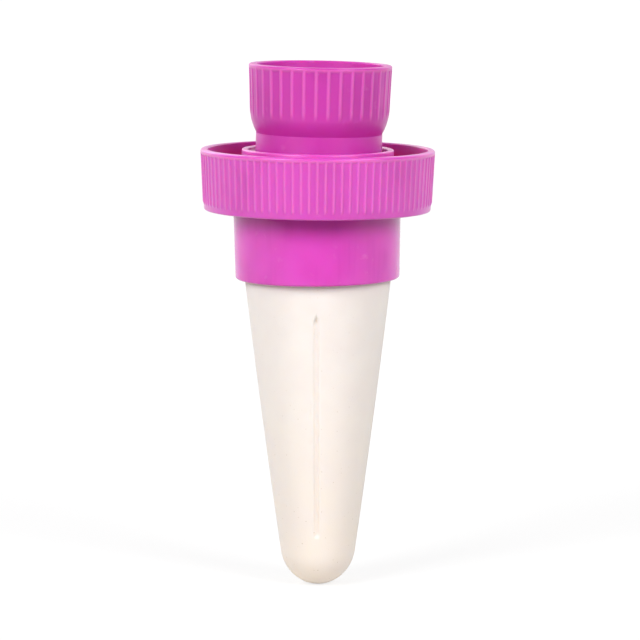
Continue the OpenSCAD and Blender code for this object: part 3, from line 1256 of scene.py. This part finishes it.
@dataclass
class BottleSocket:
    """The ribbed socket for a drinks bottle, with its curl, its neck and its threads."""

    finishes: Finishes
    fits: Fits
    span: Span
    washer: Span
    neck: float
    neck_wall: float = 1.55
    draft: float = 0.35
    web: float = 1.6
    hole: float = 9.0
    seat_h: float = 1.5
    ledge: float = 0.6
    curl_drop: float = 0.6
    curl_h: float = 6.3
    curl_fullness: float = 2.2
    crease: float = 0.08
    crease_h: float = 0.22
    lead: float = 0.25
    bevel: float = 0.3
    rim_round: float = 0.45
    ribs: Ribs = Ribs(
        count=36,
        height=0.2,
        crest=0.25,
        foot=1.05,
        low=0.7,
        band=0.9,
        rise=2.2,
        lip=0.4,
        first=math.radians(FRONT_DEG - 3.2),
    )
    neck_thread: Thread = Thread(Hand.OUTWARD, depth=1.1, start=1.2, turns=2.0)
    bottle_form: ThreadForm = ThreadForm(pitch=3.18, foot=1.75, crest=0.55)
    bottle_thread: Thread = Thread(Hand.INWARD, depth=0.95, start=1.9, turns=2.1, first=2.0)
    # Distances between mesh rows on the neck's thread and on the bore and the curl
    neck_row: float = 0.24
    fine_row: float = 0.2
    plain_columns: int = 5
    lean_deg: float = 1.15
    shift: float = 0.12
    pivot_share: float = 0.2

    def _crest(self, z: float) -> float:
        """Gives the outside radius over the ribs, and over the curl below them.

        Args:
            z: Height in millimetres.

        Returns:
            Radius in millimetres.
        """
        curl = self.washer.low - self.web - self.curl_drop
        curl_top = curl + self.curl_h
        side = self.span.radius - self.draft
        if z < curl_top:
            return side - (side - self.neck) * ((curl_top - z) / self.curl_h) ** self.curl_fullness
        return side + self.draft * (z - curl_top) / (self.span.high - curl_top)

    def _sunk(self, z: float, low: float) -> float:
        """Gives the outside radius between the ribs, which sinks in smoothly above the curl.

        Args:
            z: Height in millimetres.
            low: Height where it starts to sink in.

        Returns:
            Radius in millimetres.
        """
        return self._crest(z) - self.ribs.height * smooth(low, low + self.ribs.rise, z)

    def build(self) -> bpy.types.Object:
        """Makes the socket with its ribs and its two threads.

        Returns:
            The dressed socket.
        """
        foot, top, seat = self.span.low, self.span.high, self.washer.low
        floor, web = seat + self.seat_h, seat - self.web
        curl = web - self.curl_drop
        r, b = self.rim_round, self.bevel
        bore, neck_bore = self.fits.bottle_bore, self.neck - self.neck_wall
        ribs = self.ribs.on(self.span.radius, seat, top)
        screw = self.neck_thread.on(foot, self.fits.socket_thread)
        bottle = self.bottle_thread.on(floor, self.bottle_form)
        curl_rows = run((0.0, curl), (0.0, ribs.low), self.fine_row)
        # The rows below the ribs' start are the curl's
        rib_rows = ribs.rows(curl, top - r)[ribs.row_counts[0] :]
        crease = (self.neck, curl - self.crease_h)
        stretches = [
            Stretch(arc((neck_bore + b, foot + b), b, 180.0, 270.0, steps=3)),
            Stretch(arc((self.neck - b, foot + b), b, -90.0, 0.0, steps=3)),
            Stretch(run((self.neck, foot + b), crease, self.neck_row)[1:], screw),
            Stretch([(self.neck - self.crease, curl - self.crease_h)]),
            Stretch([(self._crest(z), z) for _, z in curl_rows]),
            Stretch([(self._sunk(z, ribs.low), z) for z in rib_rows], ribs),
            Stretch(arc((self.span.radius - r, top - r), r, 0.0, 90.0, steps=6)[1:]),
            Stretch([(bore + self.lead, top)]),
            Stretch(run((bore, top - self.lead), (bore, floor), self.fine_row), bottle),
            Stretch([(bore - self.ledge, floor), (bore - self.ledge, seat)]),
            Stretch([(self.hole, seat), (self.hole, web), (neck_bore, web)]),
        ]
        piece = Turning("ribbed_socket", stretches, ribs.columns(self.plain_columns)).build()
        lean(piece, self.lean_deg, foot + (top - foot) * self.pivot_share, self.shift)
        return self.finishes.finish(piece, Look.SOCKET_PLASTIC, "socket", "bottle_socket")


@dataclass
class Seals:
    """The bond, the two gaskets and the two washers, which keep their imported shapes."""

    finishes: Finishes
    nodes: dict[str, bpy.types.Object]
    looks: tuple[tuple[str, Look], ...] = (
        ("cone_sealant", Look.BOND),
        ("collar_gasket", Look.SILICONE),
        ("wide_bottle_washer", Look.SILICONE),
        ("adaptor_gasket", Look.SILICONE),
        ("socket_washer", Look.SILICONE),
    )

    def build(self) -> list[bpy.types.Object]:
        """Dresses each packed seal where it is.

        Returns:
            The dressed seals.
        """
        dressed = []
        for name, look in self.looks:
            self.finishes.dress(self.nodes[name], look)
            dressed.append(self.nodes[name])
        return dressed


@dataclass
class Studio:
    """A pale floor, soft light and the photograph's camera, in metres where no unit is named."""

    floor_size: float = 14.0
    floor_colour: str = "#FFFFFF"
    # Share of the floor's look that shows the object's shadow
    shadow_share: float = 0.28
    bounce_colour: str = "#A8A6A2"
    # The floor in front of the sweep, as mirrored rays meet it
    dim_colour: str = "#33312F"
    # A white card under the tip throws light up at it: its colour, and where its edge fades out
    card_colour: str = "#E4E1DA"
    card_fade_mm: Pair = (6.0, 16.0)
    world_strength: float = 0.31
    # How bright the room in front is in mirrored rays
    mirrored_strength: float = 0.06
    # How far in front of the object the sweep's floor fades out
    sweep_front: Pair = (-0.45, -0.2)
    # Where its sides fade out, as the share of a ray's length that goes back
    sweep_side: Pair = (0.5, 0.62)
    camera_place: Triple = (0.00047, -0.7817, 0.158)
    camera_tilt_deg: float = 82.75
    camera_lens_mm: float = 202.5
    camera_sensor_mm: float = 36.0
    camera_clip: Pair = (0.01, 20.0)
    # Name, direction from the front and elevation in degrees, softness in degrees, and strength
    lights: tuple[tuple[str, float, float, float, float], ...] = (
        ("front_left_box", -42.0, 28.0, 30.0, 2.25),
        ("front_right_box", 43.0, 28.0, 30.0, 1.93),
        ("back_left_box", -140.0, 30.0, 50.0, 0.9),
        ("back_right_box", 140.0, 30.0, 50.0, 0.4),
    )

    def _seen(self, add: Adder, behind: bpy.types.NodeSocket) -> bpy.types.NodeSocket:
        """Tells how white the surroundings look along a ray that shows them.

        Args:
            add: What adds nodes to the tree.
            behind: 1 where the white sweep is, 0 in the dim room in front of it.

        Returns:
            1 for rays from the camera, passing rays and mirrored rays that meet the sweep, and 0 for
            rays that only light the object and mirrored rays that meet the room.
        """
        camera, glossy, passing = (
            add("ShaderNodeLightPath", output=name)
            for name in ("Is Camera Ray", "Is Glossy Ray", "Is Transmission Ray")
        )
        direct = add("ShaderNodeMath", {"operation": "MAXIMUM"}, {0: camera, 1: passing})
        mirrored = add("ShaderNodeMath", {"operation": "MULTIPLY"}, {0: glossy, 1: behind})
        return add("ShaderNodeMath", {"operation": "MAXIMUM"}, {0: direct, 1: mirrored})

    def floor(self) -> bpy.types.Object:
        """Makes the floor, white to the eye and duller as a light source.

        Returns:
            The floor.
        """
        half = self.floor_size / 2
        corners = [(-half, -half, 0.0), (half, -half, 0.0), (half, half, 0.0), (-half, half, 0.0)]
        mesh = bpy.data.meshes.new("studio_floor")
        mesh.from_pydata(corners, [], [(0, 1, 2, 3)])
        made = add_object("studio_floor", mesh)
        material, add = new_material("pale_floor")
        place = add("ShaderNodeTexCoord", output="Object")
        depth = add("ShaderNodeSeparateXYZ", None, {"Vector": place}, "Y")
        reach = add("ShaderNodeVectorMath", {"operation": "LENGTH"}, {0: place}, "Value")
        behind, off_card = (
            add("ShaderNodeMapRange", {"From Min": near, "From Max": far}, {"Value": source})
            for source, near, far in (
                (depth, *self.sweep_front),
                (reach, *(edge * MM for edge in self.card_fade_mm)),
            )
        )
        seen = self._seen(add, behind)
        shade = add("ShaderNodeBsdfDiffuse", {"Color": linear(self.floor_colour)})
        white = add("ShaderNodeEmission", {"Color": linear("#FFFFFF"), "Strength": 1.0})
        look = add("ShaderNodeMixShader", {0: self.shadow_share}, {1: white, 2: shade})
        glossy = add("ShaderNodeLightPath", output="Is Glossy Ray")
        lighting = add("ShaderNodeMath", {"operation": "SUBTRACT", 0: 1.0}, {1: glossy})
        lit = add("ShaderNodeMath", {"operation": "MAXIMUM"}, {0: lighting, 1: behind})
        greys = {UNDER: linear(self.dim_colour), OVER: linear(self.bounce_colour)}
        table = add("ShaderNodeMix", {"data_type": "RGBA", **greys}, {FACTOR: lit}, MIXED)
        pale = {"data_type": "RGBA", UNDER: linear(self.card_colour)}
        card = add("ShaderNodeMix", pale, {FACTOR: off_card, OVER: table}, MIXED)
        bounce = add("ShaderNodeBsdfDiffuse", None, {"Color": card})
        both = add("ShaderNodeMixShader", None, {0: seen, 1: bounce, 2: look})
        add("ShaderNodeOutputMaterial", None, {"Surface": both})
        mesh.materials.append(material)
        return made

    def world(self) -> None:
        """Makes the surroundings, white to the eye and at a plain level as light."""
        world = bpy.data.worlds.new("studio")
        bpy.context.scene.world = world
        world.use_nodes = True
        add = cleared(world.node_tree)
        heading = add("ShaderNodeTexCoord", output="Generated")
        depth = add("ShaderNodeSeparateXYZ", None, {"Vector": heading}, "Y")
        ends = {"From Min": self.sweep_side[0], "From Max": self.sweep_side[1]}
        behind = add("ShaderNodeMapRange", ends, {"Value": depth})
        seen = self._seen(add, behind)
        glossy = add("ShaderNodeLightPath", output="Is Glossy Ray")
        levels = {"To Min": self.world_strength, "To Max": self.mirrored_strength}
        fill = add("ShaderNodeMapRange", levels, {"Value": glossy})
        strength = add("ShaderNodeMath", {"operation": "MAXIMUM"}, {0: seen, 1: fill})
        light = add("ShaderNodeBackground", {"Color": linear("#FFFFFF")}, {"Strength": strength})
        add("ShaderNodeOutputWorld", None, {"Surface": light})

    def lamps(self) -> None:
        """Sets the distant soft boxes round the object."""
        for name, turn, rise, softness, strength in self.lights:
            lamp = bpy.data.lights.new(name, "SUN")
            lamp.angle = math.radians(softness)
            lamp.energy = strength
            made = add_object(name, lamp)
            made.rotation_euler = (math.radians(90.0 - rise), 0.0, math.radians(turn))

    def camera(self) -> None:
        """Sets up the camera where the photograph was taken."""
        data = bpy.data.cameras.new("photo_camera")
        data.lens = self.camera_lens_mm
        data.sensor_width = self.camera_sensor_mm
        data.clip_start, data.clip_end = self.camera_clip
        made = add_object("photo_camera", data)
        made.location = self.camera_place
        made.rotation_euler = (math.radians(self.camera_tilt_deg), 0.0, 0.0)
        bpy.context.scene.camera = made

    def build(self) -> None:
        """Sets up the camera, the floor, the surroundings and the lamps."""
        self.camera()
        self.floor()
        self.world()
        self.lamps()
        bpy.context.scene.view_settings.view_transform = "Standard"


def main() -> None:
    """Builds every sub-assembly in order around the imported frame."""
    logging.basicConfig(level=logging.INFO, format="%(name)s: %(message)s")
    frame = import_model()
    Studio().build()
    finishes = Finishes()
    finishes.build()
    fits = Fits.of(frame["record"])
    cone, collar, ring = Span.of("ceramic_cone"), Span.of("cone_collar"), Span.of("bottle_ring")
    spigot_seal, neck_seal = Span.of("collar_gasket"), Span.of("adaptor_gasket")
    wide_washer = Span.of("wide_bottle_washer")
    seat = cone.radius - CeramicCone.seat_step
    pieces = [
        CeramicCone(finishes, collar, cone).build(),
        ConeCollar(finishes, fits, collar, spigot_seal, seat).build(),
        BottleRing(
            finishes, fits, ring, wide_washer, collar, spigot_seal.radius, neck_seal.radius
        ).build(),
        BottleSocket(
            finishes, fits, Span.of("bottle_socket"), Span.of("socket_washer"), neck_seal.radius
        ).build(),
        *Seals(finishes, frame["nodes"]).build(),
    ]
    for piece in pieces:
        LOG.info("%s: %d faces", piece.name, len(piece.data.polygons))


if __name__ == "__main__":
    main()
